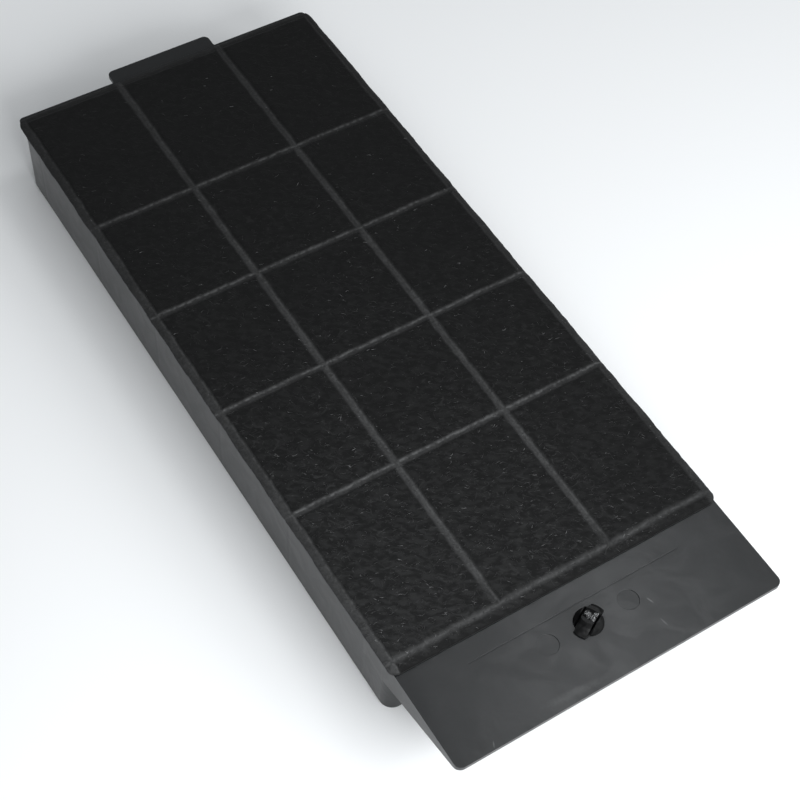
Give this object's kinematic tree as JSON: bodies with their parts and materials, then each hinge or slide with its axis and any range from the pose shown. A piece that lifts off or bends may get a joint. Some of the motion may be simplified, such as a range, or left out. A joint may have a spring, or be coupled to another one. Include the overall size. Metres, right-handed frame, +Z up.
{
  "type": "cooker hood carbon filter",
  "caption": "Flat tray cassette with fleece welded over carbon cells, a hooking tongue at one end and a handle plate with a turn lock at the other.",
  "frame": {"origin": "on the plane that the underside rests on, below the middle of the overall width and length", "axes": "+X across the cassette, +Y along it from the handle plate to the tongue, +Z up out of the fleece"},
  "size_m": [0.1672, 0.4132, 0.0469],
  "materials": {
    "cassette_plastic": "fine satin moulded black polypropylene",
    "lock_plastic": "glossy black acetal",
    "fleece": "black needled non-woven, fused grey along its weld lines",
    "carbon": "dull black pellets"
  },
  "bodies": {
    "cassette": {"cassette_body": "cassette_plastic", "top_fleece": "fleece", "carbon_bed_r1_c1": "carbon", "carbon_bed_r1_c2": "carbon", "carbon_bed_r1_c3": "carbon", "carbon_bed_r2_c1": "carbon", "carbon_bed_r2_c2": "carbon", "carbon_bed_r2_c3": "carbon", "carbon_bed_r3_c1": "carbon", "carbon_bed_r3_c2": "carbon", "carbon_bed_r3_c3": "carbon", "carbon_bed_r4_c1": "carbon", "carbon_bed_r4_c2": "carbon", "carbon_bed_r4_c3": "carbon", "carbon_bed_r5_c1": "carbon", "carbon_bed_r5_c2": "carbon", "carbon_bed_r5_c3": "carbon"},
    "turn_lock": {"turn_knob": "lock_plastic"}
  },
  "joints": [
    {"name": "lock_turn", "type": "hinge", "parent": "cassette", "child": "turn_lock", "pos_m": [0, -0.1794, 0.0405], "axis": [0, 0, 1], "range_deg": [-25, 65]}
  ]
}
